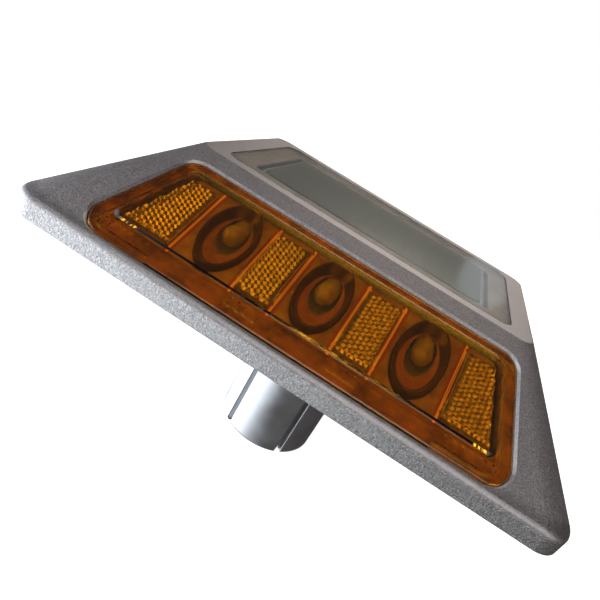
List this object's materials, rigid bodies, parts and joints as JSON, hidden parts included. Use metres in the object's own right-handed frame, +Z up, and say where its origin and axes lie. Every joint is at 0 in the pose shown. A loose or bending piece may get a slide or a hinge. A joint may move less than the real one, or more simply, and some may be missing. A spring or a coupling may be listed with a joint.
{
  "type": "raised pavement marker",
  "caption": "Two-way solar road stud: low cast pyramid body with amber lenses on both slopes, a solar window on top and a grooved anchoring shank below.",
  "frame": {"origin": "centre of the body's underside, where the shank meets it: the level of the road surface", "axes": "+Z up out of the road, along the shank; -Y towards the front lens; +X along the lenses"},
  "size_m": [0.125, 0.125, 0.0765],
  "materials": {
    "silver_coat": "cast aluminium with a speckled silver coat",
    "shank_satin": "smooth satin aluminium",
    "plate_satin": "plain satin aluminium sheet",
    "clear_cover": "clear polycarbonate, glossy",
    "amber_lens": "amber polycarbonate, glossy",
    "amber_prism": "amber prism mouldings",
    "backer_amber": "amber reflector backing",
    "cup_dark": "dark moulded plastic",
    "seal_grey": "warm grey bonding seal",
    "gasket_black": "black rubber",
    "cell_silicon": "dark grey-green silicon under glass",
    "foam_grey": "closed-cell foam",
    "board_green": "green solder mask",
    "board_white": "white solder mask",
    "led_clear": "clear epoxy with a yellow tint",
    "tinned_wire": "tinned leads and nickel strip",
    "pin_brass": "gold-coloured pins",
    "wire_red": "red insulation",
    "wire_black": "black insulation",
    "chip_black": "moulded package",
    "ferrite_grey": "ferrite",
    "can_aluminium": "aluminium can",
    "cell_sleeve": "blue shrink sleeve over a metal can",
    "cradle_plastic": "black moulded plastic",
    "steel_screw": "stainless steel"
  },
  "bodies": {
    "root": {"housing": "silver_coat", "solar_cover": "clear_cover", "cover_seal": "seal_grey", "solar_cell": "cell_silicon", "cell_board": "board_white", "cell_pad": "foam_grey", "wire_grommet": "gasket_black", "solar_wire_red": "wire_red", "solar_wire_black": "wire_black", "main_board": "board_green", "board_screws": "steel_screw", "control_chip": "chip_black", "boost_inductor": "ferrite_grey", "capacitors": "can_aluminium", "chip_resistors": "chip_black", "battery_one": "cell_sleeve", "battery_two": "cell_sleeve", "battery_cradles": "cradle_plastic", "battery_tabs": "tinned_wire", "base_plate": "plate_satin", "base_gasket": "gasket_black", "base_screws": "steel_screw", "shank": "shank_satin", "shank_ring": "gasket_black", "shank_washer": "steel_screw", "shank_bolt": "steel_screw", "front_lens": "amber_lens", "front_lens_gasket": "gasket_black", "front_prisms": "amber_prism", "front_backer": "backer_amber", "front_led_cups": "cup_dark", "front_leds": "led_clear", "front_led_leads": "tinned_wire", "front_led_board": "board_green", "front_link_pins": "pin_brass", "rear_lens": "amber_lens", "rear_lens_gasket": "gasket_black", "rear_prisms": "amber_prism", "rear_backer": "backer_amber", "rear_led_cups": "cup_dark", "rear_leds": "led_clear", "rear_led_leads": "tinned_wire", "rear_led_board": "board_green", "rear_link_pins": "pin_brass"}
  },
  "joints": []
}
